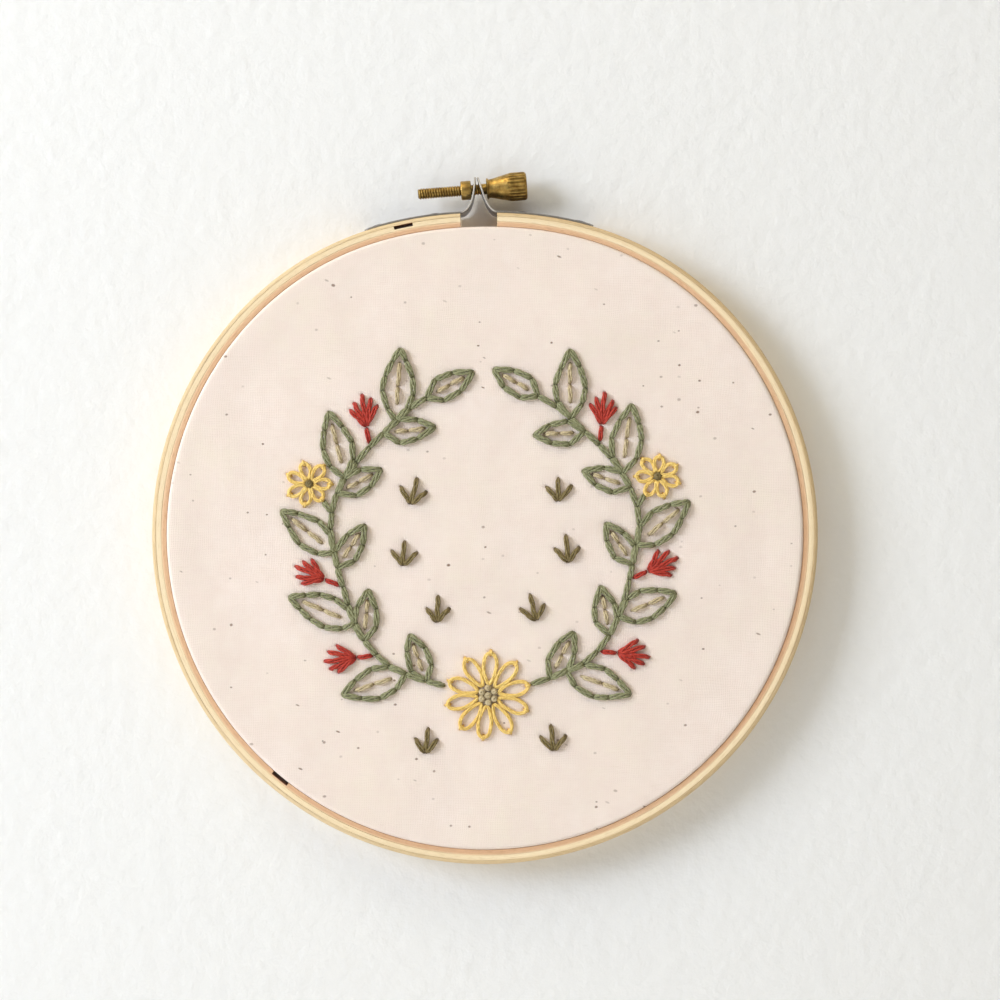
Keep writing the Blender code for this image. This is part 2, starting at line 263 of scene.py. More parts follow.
def calico():
    """Unbleached cotton: plain weave, slubs, faint mottling, dark seed flecks, and painted shade
    between the yarns and in the needle holes.
    """
    shades = Shades("calico")
    place = shades.place()
    x, _, z = shades.split(place)
    wander = shades.noise(place, 0.11, 2)
    weft_x = shades.maths("MULTIPLY_ADD", wander, 1.6, x)
    weft_z = shades.maths("MULTIPLY_ADD", wander, -1.6, z)
    weave = plain_weave(shades, weft_x, weft_z, YARN_PITCH)
    weft_slub = shades.noise(shades.join(shades.times(x, 0.07), 0.0, weft_z), 1.5, 2)
    warp_slub = shades.noise(shades.join(weft_x, 3.0, shades.times(z, 0.06)), 1.3, 2)
    mottle = shades.noise(place, 0.045, 3, 0.6)
    blotch = shades.noise(place, 0.25, 2)
    base = shades.tints(
        (251, 235, 224),
        ((248, 233, 217), mottle, 0.35, 0.65),
        ((248, 230, 218), blotch, 0.3, 0.75),
        ((236, 219, 202), weft_slub, 0.62, 0.85, 0.0, 0.3),
        ((255, 247, 238), warp_slub, 0.64, 0.85, 0.0, 0.22),
        # Painted shade between the yarns, where the weave lies low
        ((222, 204, 186), weave, 0.0, 0.45, 0.3, 0.0),
    )
    dots = flecks(shades, weft_x, weft_z, cell=3.3, stretch=1.35, share=0.12, radius=0.42)
    slanted = shades.maths("MULTIPLY_ADD", x, 0.35, z)
    fibres = flecks(shades, x, slanted, cell=4.1, stretch=2.3, share=0.08, radius=0.34)
    spots = shades.maths("MAXIMUM", dots, fibres)
    base = shades.mix(shades.times(spots, 0.85), base, srgb(112, 74, 40))
    # Painted shade in the needle holes: the cloth turns dark brown where it dips into a hole
    painted_hole_shade = shades.between(shades.attribute("pinch_and_hole_shade"), 0.45, 1.0, 0.0, 0.8)
    base = shades.mix(painted_hole_shade, base, srgb(120, 96, 78))
    height = shades.maths("MULTIPLY_ADD", weft_slub, 0.8, weave)
    height = shades.maths("MULTIPLY_ADD", warp_slub, 0.5, height)
    return shades.finish(
        Base_Color=base,
        Roughness=shades.between(weave, 0.0, 1.0, 0.97, 0.86),
        Normal=shades.bumps((height, 0.06), (mottle, 0.5)),
        Sheen_Weight=0.12,
        Specular_IOR_Level=0.2,
    )


def floss(name):
    """Stranded cotton: plied ridges on each strand, fine fibres, a soft shine, and painted shade in
    the grooves and where it dives.
    """
    middle, dark, light = PALETTE[name]
    shades = Shades(name)
    place = shades.place()
    turn = shades.times(shades.attribute("along"), 2 * math.pi / STRAND_TWIST)
    ridges = shades.maths(
        "ADD",
        shades.times(shades.attribute("turn_sin"), shades.maths("COSINE", turn)),
        shades.times(shades.attribute("turn_cos"), shades.maths("SINE", turn)),
    )
    fuzz = shades.noise(place, 5.0, 3, 0.6)
    patch = shades.noise(place, 0.35, 2)
    base = shades.tints(
        middle,
        (light, shades.attribute("shade"), 0.0, 1.0, 0.0, 0.55),
        # Painted shade in the grooves between a strand's plies
        (dark, ridges, -1.0, 0.1, 0.55, 0.0),
        (light, fuzz, 0.55, 0.85, 0.0, 0.4),
        (dark, patch, 0.5, 0.75, 0.0, 0.3),
    )
    # Painted shade where a thread dives into the cloth; it also darkens every run on the cloth's back
    base = shades.mix(shades.attribute("dive_shade"), base, srgb(*dark))
    return shades.finish(
        Base_Color=base,
        Roughness=shades.between(fuzz, 0.3, 0.8, 0.5, 0.72),
        Normal=shades.bumps((ridges, 0.05), (fuzz, 0.03)),
        Sheen_Weight=0.18,
        Specular_IOR_Level=0.4,
    )


def wood(name, light, dark, line, outward=None):
    """Bent ply: grain that runs round the ring, fine pores, and painted shade on the walls of its
    slots.

    Where outward is given, the colour turns to it between two reaches from the hoop's middle.
    """
    shades = Shades(name)
    place = shades.place()
    _, depth, _ = shades.split(place)
    along = shades.attribute("along")
    reach = shades.attribute("reach")
    layers = []
    for shortened, *noise in ((0.012, 0.9, 3, 0.6), (0.1, 4.0, 3, 0.65), (0.35, 7.0, 2, 0.5)):
        layers.append(shades.noise(shades.join(shades.times(along, shortened), depth, reach), *noise))
    grain, fibre, pores = layers
    patch = shades.noise(place, 0.06, 2)
    base = shades.tints(
        light,
        (dark, grain, 0.35, 0.68),
        (line, fibre, 0.48, 0.74, 0.0, 0.62),
        (line, pores, 0.64, 0.78, 0.0, 0.45),
        (dark, patch, 0.45, 0.7, 0.0, 0.35),
    )
    if outward:
        colour, start, end = outward
        base = shades.mix(shades.between(reach, start, end, 0.0, 0.55), base, srgb(*colour))
    # Painted shade on the walls of the slots, dark brown
    base = shades.mix(shades.attribute("slot_shade"), base, srgb(140, 80, 42))
    return shades.finish(
        Base_Color=base,
        Roughness=shades.between(fibre, 0.3, 0.7, 0.48, 0.66),
        Normal=shades.bumps((fibre, 0.05), (pores, -0.03)),
        Specular_IOR_Level=0.4,
    )


def aged_brass():
    """Turned brass with greenish tarnish, and painted shade in the thread roots, the flutes and the
    nut's bore.
    """
    shades = Shades("aged_brass")
    place = shades.place()
    cloud = shades.noise(place, 0.55, 4, 0.6)
    specks = shades.noise(place, 4.5, 3, 0.6)
    verdigris = shades.noise(place, 0.8, 3, 0.6)
    x, y, z = shades.split(place)
    lathe = shades.noise(shades.join(shades.times(x, 9.0), y, z), 1.0, 2)
    base = shades.tints(
        (204, 168, 94),
        ((138, 104, 52), cloud, 0.35, 0.7),
        ((106, 98, 54), verdigris, 0.5, 0.75, 0.0, 0.6),
        ((74, 48, 20), specks, 0.58, 0.8, 0.0, 0.6),
    )
    # Painted shade in the hollows: thread roots, flutes and the nut's bore turn dark brown
    base = shades.mix(shades.times(shades.attribute("hollow_shade"), 0.85), base, srgb(58, 36, 14))
    return shades.finish(
        Base_Color=base,
        Roughness=shades.between(cloud, 0.3, 0.75, 0.27, 0.5),
        Normal=shades.bumps((lathe, 0.012), (specks, 0.02)),
        Metallic=1.0,
    )


def sheet_steel():
    """Plated steel sheet: drawn streaks, dull patches and brown-grey stains."""
    shades = Shades("sheet_steel")
    place = shades.place()
    x, y, z = shades.split(place)
    streak = shades.noise(shades.join(x, shades.times(y, 8.0), z), 0.7, 3, 0.6)
    cloud = shades.noise(place, 0.4, 3, 0.6)
    stain = shades.noise(place, 1.1, 4, 0.65)
    bare_edge_highlight = shades.attribute("bare_edge_highlight")
    base = shades.tints(
        (150, 150, 156),
        ((108, 108, 114), streak, 0.35, 0.7),
        ((74, 74, 82), cloud, 0.45, 0.75, 0.0, 0.7),
        ((62, 54, 48), stain, 0.6, 0.8, 0.0, 0.6),
    )
    # The sheared edges painted lighter: bare steel, and a painted highlight
    base = shades.mix(bare_edge_highlight, base, srgb(208, 202, 192))
    roughness = shades.between(cloud, 0.3, 0.75, 0.3, 0.52)
    return shades.finish(
        Base_Color=base,
        Roughness=shades.maths("MAXIMUM", roughness, shades.times(bare_edge_highlight, 0.75)),
        Normal=shades.bumps((streak, 0.02), (stain, 0.02)),
        Metallic=1.0,
    )


def one_sided_wall():
    """Pale rolled paint that is clear from behind, so the hoop's back can be seen."""
    shades = Shades("pale_wall")
    rolled = shades.noise(shades.place(), 0.22, 3, 0.55)
    shades.finish(Base_Color=srgb(243, 242, 239), Roughness=0.9, Normal=shades.bumps((rolled, 0.35)))
    output = shades.tree.nodes["Material Output"]
    clear = shades.tree.nodes.new("ShaderNodeBsdfTransparent").outputs[0]
    behind = shades.tree.nodes.new("ShaderNodeNewGeometry").outputs["Backfacing"]
    either = shades.node("ShaderNodeMixShader", {0: behind, 1: shades.shader.outputs[0], 2: clear})
    shades.feed(output.inputs["Surface"], either.outputs[0])
    return shades.material


def pale_floor():
    shades = Shades("pale_floor")
    grain = shades.noise(shades.place(), 0.02, 2)
    base = shades.mix(grain, srgb(226, 225, 222), srgb(232, 231, 228))
    return shades.finish(Base_Color=base, Roughness=0.85)


def add_object(name, data):
    obj = bpy.data.objects.new(name, data)
    bpy.context.scene.collection.objects.link(obj)
    return obj


def new_piece(name, points, faces, material, attributes=None, sharp_angle=None):
    """An object from points in millimetres and faces of point numbers, facing outward."""
    mesh = bpy.data.meshes.new(name)
    mesh.from_pydata((np.asarray(points) * MM).tolist(), [], [list(map(int, face)) for face in faces])
    for key, values in (attributes or {}).items():
        layer = mesh.attributes.new(key, "FLOAT", "POINT")
        layer.data.foreach_set("value", np.asarray(values, np.float32).ravel())
    shell = bmesh.new()
    shell.from_mesh(mesh)
    bmesh.ops.recalc_face_normals(shell, faces=shell.faces)
    shell.to_mesh(mesh)
    shell.free()
    mesh.materials.append(material)
    mesh.shade_smooth()
    if sharp_angle:
        mesh.set_sharp_from_angle(angle=math.radians(sharp_angle))
    return add_object(name, mesh)


def grid_faces(rows, columns, close_rows=False, close_columns=False):
    """Four-sided faces of a grid whose points run row by row."""
    numbers = np.arange(rows * columns).reshape(rows, columns)
    if close_rows:
        numbers = np.vstack([numbers, numbers[:1]])
    if close_columns:
        numbers = np.hstack([numbers, numbers[:, :1]])
    corners = (numbers[:-1, :-1], numbers[:-1, 1:], numbers[1:, 1:], numbers[1:, :-1])
    return np.stack([corner.ravel() for corner in corners], axis=1)


def tube_faces(rows, columns, first=0):
    """Faces of a tube with a cap at each end, whose points run row by row from the first."""
    last = first + (rows - 1) * columns
    faces = (grid_faces(rows, columns, close_columns=True) + first).tolist()
    return faces + [list(range(start, start + columns)) for start in (first, last)]


def rounded_box(low, high, roundings):
    """Points round a box in a plane, anticlockwise from its low corner, each corner an arc."""
    (left, bottom), (right, top) = low, high
    corners = ((left, bottom), (right, bottom), (right, top), (left, top))
    inward = ((1, 1), (-1, 1), (-1, -1), (1, -1))
    points = []
    for index, (corner, rounding) in enumerate(zip(corners, roundings)):
        centre = np.array(corner) + np.array(inward[index]) * rounding
        for step in range(EDGE_STEPS + 1):
            turn = math.radians(180 + 90 * index + 90 * step / EDGE_STEPS)
            points.append(centre + rounding * np.array((math.cos(turn), math.sin(turn))))
    return np.array(points)


def waver(angles, size, seed, low=3, high=40):
    """A small closed unevenness round a ring."""
    rng = np.random.default_rng(seed)
    turns = np.radians(angles)
    total = np.zeros_like(turns)
    for count in range(low, high):
        total += np.sin(count * turns + rng.uniform(0, 2 * math.pi)) * rng.uniform(0.4, 1) / count**0.7
    return size * total / np.abs(total).max()


def on_ring(radius, depth, angle):
    """Points at a round radius and depth on the squeezed outline."""
    reach = radius * squeeze(angle)
    turn = np.radians(angle)
    return np.stack(
        np.broadcast_arrays(reach * np.sin(turn), depth, HOOP_CENTRE_Z + reach * np.cos(turn)), axis=-1
    )


def ply_angles():
    """Angles round the open ring from end to end, closer at each slot's ends."""
    start = math.degrees(math.asin(CLAMP_GAP / 2 / (OUTER_HOOP_OUTSIDE * float(squeeze(0)))))
    angles = list(np.linspace(start, 360 - start, RING_STEPS))
    for middle, _, _ in PLY_SLOTS.values():
        for edge in (-SLOT_HALF_TURN, SLOT_HALF_TURN):
            for nudge in (-0.02, 0.02):
                angles.append((middle + edge + nudge) % 360)
    return np.array(sorted(angles))


def turn_between(angle, other):
    return abs((angle - other + 180) % 360 - 180)


def painted_slot_shade(angle, out):
    """How much painted shade a place in the ply stack gets: 1 on the walls of a slot, and a little
    past its ends.
    """
    dark = np.zeros(len(out))
    for middle, floor, roof in PLY_SLOTS.values():
        past = turn_between(angle, middle) - SLOT_HALF_TURN
        strength = 1.0 if past < 0 else max(0.0, 0.3 - 0.4 * past)
        wall = np.minimum(abs(out - floor), abs(out - roof)) < 0.04
        dark = np.maximum(dark, np.where(wall, strength, 0))
    return dark


def wood_facts(points, angles, radius, slot_shade):
    """What the wood's colour reads at each point: the way round, the round radius, the painted slot
    shade.
    """
    radial = np.hypot(points[..., 0], points[..., 2] - HOOP_CENTRE_Z)
    return {
        "along": np.repeat(np.radians(angles) * radius, points.shape[1]),
        "reach": radial / squeeze(angles)[:, None],
        "slot_shade": slot_shade,
    }


def make_ply(name, material):
    """One ply of the outer ring, thinner where its ends don't meet."""
    start, end, inner_edge, outer_edge = PLIES[name]
    slot = PLY_SLOTS.get(name)
    angles = ply_angles()
    rows = []
    slot_shade = []
    seed = sorted(PLIES).index(name)
    sway = waver(angles, 0.05, seed)
    front_sway = waver(angles, 0.07, seed + 10)
    for index, angle in enumerate(angles):
        low = start + (sway[index] if start > 1 else 0)
        high = end
        rounding = [inner_edge, outer_edge, outer_edge, inner_edge]
        if slot and turn_between(angle, slot[0]) < SLOT_HALF_TURN:
            _, floor, roof = slot
            if roof >= end:
                high = floor
            else:
                low = roof
            rounding = [min(edge, SLOT_EDGE) for edge in rounding]
        outline = rounded_box((low, FRONT + front_sway[index]), (high, BACK), rounding)
        radius = OUTER_HOOP_INSIDE + outline[:, 0]
        rows.append(on_ring(radius, outline[:, 1], angle))
        slot_shade.append(painted_slot_shade(angle, outline[:, 0]))
    points = np.array(rows)
    beyond = (np.abs(points[..., 0]) < CLAMP_GAP / 2) & (points[..., 2] > HOOP_CENTRE_Z)
    side = np.where(points[..., 0] < 0, -1, 1)
    points[..., 0] = np.where(beyond, side * CLAMP_GAP / 2, points[..., 0])
    faces = tube_faces(*points.shape[:2])
    facts = wood_facts(points, angles, OUTER_HOOP_OUTSIDE, slot_shade)
    ply = new_piece(name, points.reshape(-1, 3), faces, material, facts, sharp_angle=50)
    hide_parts("outer_hoop")
    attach(ply, "hoop")
    return ply


def make_inner_hoop(material):
    """The closed ring that the cloth is stretched over."""
    angles = np.linspace(0, 360, RING_STEPS, endpoint=False)
    outside = CLOTH_RIM_RADIUS - CLOTH_THICKNESS - INNER_HOOP_GAP
    front = CLOTH_FRONT + CLOTH_THICKNESS + INNER_HOOP_GAP
    sway = waver(angles, 0.06, 21)
    back_sway = waver(angles, 0.06, 22)
    rows = []
    for index, angle in enumerate(angles):
        low = (INNER_HOOP_INSIDE + sway[index], front)
        high = (outside, INNER_HOOP_BACK + min(0, back_sway[index]))
        outline = rounded_box(low, high, (0.7, CLOTH_EDGE - CLOTH_THICKNESS, 0.6, 0.7))
        rows.append(on_ring(outline[:, 0], outline[:, 1], angle))
    points = np.array(rows)
    count, columns = points.shape[:2]
    facts = wood_facts(points, angles, RING_RADIUS, np.zeros(count * columns))
    faces = grid_faces(count, columns, close_rows=True, close_columns=True)
    ring = new_piece("inner_ring", points.reshape(-1, 3), faces, material, facts, sharp_angle=50)
    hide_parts("inner_hoop")
    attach(ring, "hoop")
    return ring


# The needlework, a plain wreath: flat places are (across, up) from the hoop's middle
WREATH_MIDDLE = np.array((0.0, -2.0))
WREATH_RADIUS = 37.5
STEM_FOOT = 163.0
STEM_TIP = 21.0
STEM_STITCHES = 20
STEM_SWAY = 0.9
STITCH_LENGTH = 4.3
HAND_WANDER = 0.16
# How far a stitch's ends dive, and how far its middle line and a petal's lie above the cloth
DIVE_DEPTH = 0.8
STITCH_LIFT = 0.36
STITCH_ARCH = 0.1
PETAL_LIFT = 0.4

# Along each stem, by the number of the hole that it grows from: kind, side (1 outward)
SPRIGS = (
    (1, "leaf", -1),
    (2, "leaf", 1),
    (4, "bud", 1),
    (5, "leaf", -1),
    (6, "leaf", 1),
    (8, "bud", 1),
    (9, "leaf", -1),
    (10, "leaf", 1),
    (12, "daisy", 1),
    (13, "leaf", -1),
    (14, "leaf", 1),
    (16, "bud", 1),
    (17, "leaf", -1),
    (18, "leaf", 1),
    (20, "tip", 0),
)
# Leaf sizes by side: length, half width
LEAF_SIZES = {1: (16.5, 4.0), -1: (12.5, 3.2), 0: (13.0, 3.3)}
VEIN_STITCH = 4.0
VEIN_GAP = 0.5
# How far each kind leans out from the way that the stem grows
LEANS = {"leaf": 44.0, "tip": 44.0, "bud": 52.0, "daisy": 48.0}
DAISY_STALK = 3.4
DAISY_REACH = 5.5
# Daisies: petals, their length and half width, their start from the middle, knots
SMALL_DAISY = (7, 4.1, 1.4, 1.1, 1)
LARGE_DAISY = (10, 7.6, 1.9, 2.6, 7)
KNOT_RING = 1.75
BUD_STALK = 4.6
BUD_RAYS = 5
BUD_RAY_LENGTH = 8.0
BUD_SPREAD = 72.0
# Olive tufts: angle and radius about the wreath's middle
TUFTS = ((148, 23.0), (105, 21.0), (62, 20.5), (163, 54.0))
TUFT_RAYS = ((-40, 4.6), (0, 6.4), (39, 4.8))


def direction(angle):
    """The flat direction at this angle, clockwise from up."""
    turn = math.radians(angle)
    return np.array((math.sin(turn), math.cos(turn)))


def bearing(vector):
    return math.degrees(math.atan2(vector[0], vector[1]))


def right_of(vector):
    return np.array((vector[1], -vector[0]))


def ease(travel, reach):
    """Rises from 0 to 1 over this reach, and stays there."""
    return np.sin(np.minimum(1, travel / reach) * math.pi / 2)


def travelled(line):
    """How far along a line each of its points lies."""
    return np.concatenate([[0], np.cumsum(np.linalg.norm(np.diff(line, axis=0), axis=1))])


class Needlework:
    """Every sewn path, by thread, and the holes that the needle made."""

    def __init__(self, seed):
        self.rng = np.random.default_rng(seed)
        self.paths = {thread: [] for thread in THREADS}
        self.holes = []

    def wander(self, size=HAND_WANDER):
        return self.rng.normal(0, size, 2).clip(-2 * size, 2 * size)

    def hole(self, place):
        self.holes.append(np.array(place))

    def front(self, thread, start, end, rise=0.0):
        """A straight stitch that dives into the cloth at both ends."""
        strands, width = THREADS[thread]
        gap = end - start
        length = np.linalg.norm(gap)
        share = (1 - np.cos(np.linspace(0, math.pi, 15))) / 2
        bow = self.rng.normal(0, 0.05) * np.sin(math.pi * share)
        flat = start + share[:, None] * gap + bow[:, None] * right_of(gap) / length
        nearest = np.minimum(share, 1 - share) * length
        arch = STITCH_ARCH + rise + STITCH_ARCH * np.sin(math.pi * share)
        height = -DIVE_DEPTH + ease(nearest, 0.85) * (DIVE_DEPTH + STITCH_LIFT + arch)
        spread = 0.66 + 0.34 * ease(nearest, 1.1)
        self.paths[thread].append((flat, height, spread * width / 2, 0.15, strands, 7))
        self.hole(start)
        self.hole(end)

    def behind(self, thread, start, end):
        """A plainer run on the cloth's back."""
        gap = end - start
        length = np.linalg.norm(gap)
        if length < 0.6:
            return
        share = np.linspace(0, 1, 9)
        bow = self.rng.normal(0, 0.35) * np.sin(math.pi * share)
        flat = start + share[:, None] * gap + bow[:, None] * right_of(gap) / length
        nearest = np.minimum(share, 1 - share) * length
        height = -0.55 - ease(nearest, 0.9) * (0.2 + self.rng.uniform(0, 0.35))
        spread = np.full(9, THREADS[thread][1] * 0.3)
        self.paths[thread].append((flat, height, spread, 0.12, 2, 6))

    def back_stitch(self, thread, line, length=STITCH_LENGTH):
        """Touching stitches along a line, each longer run behind reaching two holes on."""
        holes = self.spaced(line, length)
        self.join_holes(thread, holes)
        return holes

    def join_holes(self, thread, holes):
        for first, second in zip(holes, holes[1:]):
            self.front(thread, first, second)
        for first, third in zip(holes, holes[2:]):
            self.behind(thread, first, third)

    def running_stitch(self, thread, line, length, gap):
        """Stitches along a line with short gaps between."""
        holes = self.spaced(line, length + gap)
        for first, second in zip(holes, holes[1:]):
            step = (second - first) / np.linalg.norm(second - first)
            self.front(thread, first, second - step * gap)
            self.behind(thread, second - step * gap, second)

    def spaced(self, line, length):
        """Places at even steps of about this length along a line, as a hand would set them."""
        line = np.asarray(line, float)
        travel = travelled(line)
        count = max(1, round(travel[-1] / length))
        at = np.linspace(0, travel[-1], count + 1)
        at[1:-1] += self.rng.normal(0, 0.07 * length, count - 1)
        places = np.stack([np.interp(at, travel, line[:, axis]) for axis in (0, 1)], axis=1)
        places[1:-1] += self.rng.normal(0, HAND_WANDER / 2, (count - 1, 2))
        return places

    def rays(self, thread, base, heading, rays):
        """Straight stitches that fan out from one place: (angle from heading, length) rows."""
        for turn, length in rays:
            tip = base + direction(heading + turn) * length + self.wander()
            foot = base + direction(heading + turn) * 0.35
            self.front(thread, tip, foot, rise=0.05)
            self.behind(thread, foot, tip)

    def petal(self, thread, base, heading, length, half_width):
        """A looped chain stitch, held at its tip by a small stitch."""
        share = np.linspace(0, 1, 41)
        along = length * np.sin(math.pi * share) ** 2
        across = half_width * np.sin(2 * math.pi * share) * np.abs(np.sin(math.pi * share)) ** 0.6
        forward = direction(heading)
        flat = base + along[:, None] * forward + across[:, None] * right_of(forward)
        travel = np.minimum(share, 1 - share) * 2.2 * length
        height = -DIVE_DEPTH + ease(travel, 0.9) * (DIVE_DEPTH + PETAL_LIFT)
        spread = 0.5 + 0.5 * ease(travel, 1.6)
        strands, width = THREADS[thread]
        self.paths[thread].append((flat, height, spread * width / 2 * 0.85, 0.14, strands, 7))
        self.hole(base)
        tip = base + forward * length
        self.front(thread, tip - forward * 0.55, tip + forward * 0.6, rise=0.34)
        self.behind(thread, base, tip)

    def knot(self, thread, place, radius):
        """A French knot: two turns of thread that spiral in and dive."""
        share = np.linspace(0, 1, 45)
        turn = 2 * math.pi * (2.3 * share) + self.rng.uniform(0, 6)
        reach = radius * (1 - 0.62 * share)
        flat = place + reach[:, None] * np.stack([np.cos(turn), np.sin(turn)], axis=1)
        height = 0.3 + 0.75 * share - 1.9 * np.clip((share - 0.86) / 0.14, 0, 1) ** 2
        height = np.where(share < 0.08, -0.5 + 10 * share, height)
        strands, width = THREADS[thread]
        self.paths[thread].append((flat, height, np.full(45, 0.34 * width), 0.14, strands, 6))
        self.hole(place)


def leaf_side(base, heading, length, half_width, side, bend):
    """Points along one side of a pointed leaf with a slightly bent middle."""
    share = np.linspace(0, 1, 31)
    forward = direction(heading)
    belly = side * half_width * np.sin(math.pi * share**0.85) * (1 - 0.12 * share)
    curve = bend * np.sin(math.pi * share / 2) ** 2
    return base + (length * share)[:, None] * forward + (belly + curve)[:, None] * right_of(forward)


def sew_leaf(work, base, heading, side):
    length, half_width = LEAF_SIZES[side]
    length *= 1 + work.rng.normal(0, 0.03)
    bend = work.rng.normal(0.0, 0.5)
    heading += work.rng.normal(0, 2.5)
    first = leaf_side(base, heading, length, half_width, 1, bend)
    second = leaf_side(base, heading, length, half_width, -1, bend)
    work.back_stitch("green_thread", first)
    work.back_stitch("green_thread", second[::-1])
    vein = leaf_side(base, heading, length, 0, 1, bend)
    share = np.linspace(0, 1, len(vein))
    inner = vein[(share > 0.2) & (share < 0.84)]
    work.running_stitch("khaki_thread", inner, VEIN_STITCH, VEIN_GAP)


def sew_bud(work, base, heading):
    stalk = base + direction(heading) * BUD_STALK
    work.back_stitch("red_thread", np.array((base + direction(heading) * 1.0, stalk)), BUD_STALK)
    turns = np.linspace(-BUD_SPREAD / 2, BUD_SPREAD / 2, BUD_RAYS)
    lengths = BUD_RAY_LENGTH * (1 - 0.28 * np.abs(turns) / (BUD_SPREAD / 2))
    work.rays("red_thread", stalk + direction(heading) * 0.4, heading, list(zip(turns, lengths)))


def sew_daisy(work, middle, first, petals, length, half_width, inner, knots):
    """Petals all round from the first one's heading, and one or more knots at the middle."""
    for index in range(petals):
        heading = first + 360 * index / petals + work.rng.normal(0, 2)
        reach = length * (1 + work.rng.normal(0, 0.04))
        work.petal("yellow_thread", middle + direction(heading) * inner, heading, reach, half_width)
    work.knot("khaki_thread" if knots > 1 else "olive_thread", middle, 0.62)
    for index in range(knots - 1):
        place = middle + direction(360 * index / (knots - 1)) * KNOT_RING
        work.knot("khaki_thread", place + work.wander(0.06), 0.55)


def sew_stem(work, side):
    """One half of the wreath, with everything that grows from its stem."""
    angles = np.linspace(STEM_FOOT, STEM_TIP, 90)
    radii = WREATH_RADIUS + STEM_SWAY * np.sin(np.radians(angles * 6))
    line = [WREATH_MIDDLE + direction(side * angle) * radius for angle, radius in zip(angles, radii)]
    line = np.array(line)
    holes = work.back_stitch("green_thread", line, travelled(line)[-1] / STEM_STITCHES)
    for number, kind, outward in SPRIGS:
        base = holes[number]
        before = holes[max(0, number - 1)]
        after = holes[min(len(holes) - 1, number + 1)]
        heading = bearing(after - before) + side * outward * LEANS[kind]
        if kind == "bud":
            sew_bud(work, base, heading)
        elif kind == "daisy":
            stalk = base + direction(heading) * DAISY_STALK
            work.back_stitch("green_thread", np.array((base, stalk)), DAISY_STALK)
            middle = stalk + direction(heading) * DAISY_REACH
            sew_daisy(work, middle, heading + 180, *SMALL_DAISY)
        else:
            sew_leaf(work, base, heading, outward)
    for angle, radius in TUFTS:
        spot = WREATH_MIDDLE + direction(side * angle) * radius
        lengths = [(turn, length * (1 + work.rng.normal(0, 0.05))) for turn, length in TUFT_RAYS]
        work.rays("olive_thread", spot, work.rng.normal(0, 6) - side * 4, lengths)


def sew_wreath():
    work = Needlework(seed=11)
    for side in (-1, 1):
        sew_stem(work, side)
    sew_daisy(work, WREATH_MIDDLE + direction(180) * WREATH_RADIUS, 6.0, *LARGE_DAISY)
    return work


def bundle(path, rng):
    """Strands that run along a path side by side and cross over slowly: points and facts."""
    flat, height, half_width, half_height, strands, sides = path
    centre = np.column_stack([flat[:, 0], CLOTH_FRONT - height, HOOP_CENTRE_Z + flat[:, 1]])
    step = np.gradient(centre, axis=0)
    tangent = step / np.linalg.norm(step, axis=1, keepdims=True)
    heading = np.gradient(flat, axis=0)
    heading /= np.linalg.norm(heading, axis=1, keepdims=True)
    side = np.column_stack([heading[:, 1], np.zeros(len(flat)), -heading[:, 0]])
    up = np.cross(side, tangent)
    travel = travelled(centre)
    start = rng.uniform(0, 2 * math.pi)
    wind = rng.uniform(0.35, 0.7)
    radius = STRAND_RADIUS[strands]
    round_turns = np.linspace(0, 2 * math.pi, sides, endpoint=False)
    parts = []
    for number in range(strands):
        phase = start + 2 * math.pi * number / strands + wind * travel
        offset = np.cos(phase) * np.maximum(0.05, half_width - radius)
        lift = np.sin(phase) * half_height
        middle = centre + side * offset[:, None] + up * lift[:, None]
        ring = (
            np.cos(round_turns)[None, :, None] * side[:, None, :]
            + np.sin(round_turns)[None, :, None] * up[:, None, :]
        )
        points = middle[:, None, :] + radius * ring
        facts = {
            "along": np.repeat(travel + rng.uniform(0, 5), sides),
            "turn_sin": np.tile(np.sin(2 * round_turns), len(flat)),
            "turn_cos": np.tile(np.cos(2 * round_turns), len(flat)),
            "shade": np.full(len(flat) * sides, rng.uniform(0, 1)),
            # How far the thread lies below the cloth's front, for its painted shade
            "dive_shade": np.repeat(np.clip(1.2 * (0.4 - height), 0, 0.8), sides),
        }
        parts.append((points, facts))
    return parts


def make_thread(name, paths, material):
    """All the stitches of one thread as one joined mesh."""
    rng = np.random.default_rng(len(name))
    all_points = []
    all_faces = []
    all_facts = {}
    used = 0
    for path in paths:
        for points, facts in bundle(path, rng):
            rows, sides = points.shape[:2]
            all_points.append(points.reshape(-1, 3))
            all_faces += tube_faces(rows, sides, used)
            for key, values in facts.items():
                all_facts.setdefault(key, []).append(values)
            used += rows * sides
    facts = {key: np.concatenate(values) for key, values in all_facts.items()}
    thread = new_piece(name, np.vstack(all_points), all_faces, material, facts)
    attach(thread, "hoop")
    return thread


def distinct(places, apart):
    """The places, leaving out those nearer than this to one kept before."""
    kept = []
    for place in places:
        if all(np.hypot(*(place - other)) > apart for other in kept):
            kept.append(place)
    return np.array(kept)


def nearest_hole(places, holes):
    """Each place's distance to the hole that is nearest to it."""
    nearest = np.full(len(places), 1e9)
    for hole in holes:
        nearest = np.minimum(nearest, np.hypot(*(places - hole).T))
    return nearest


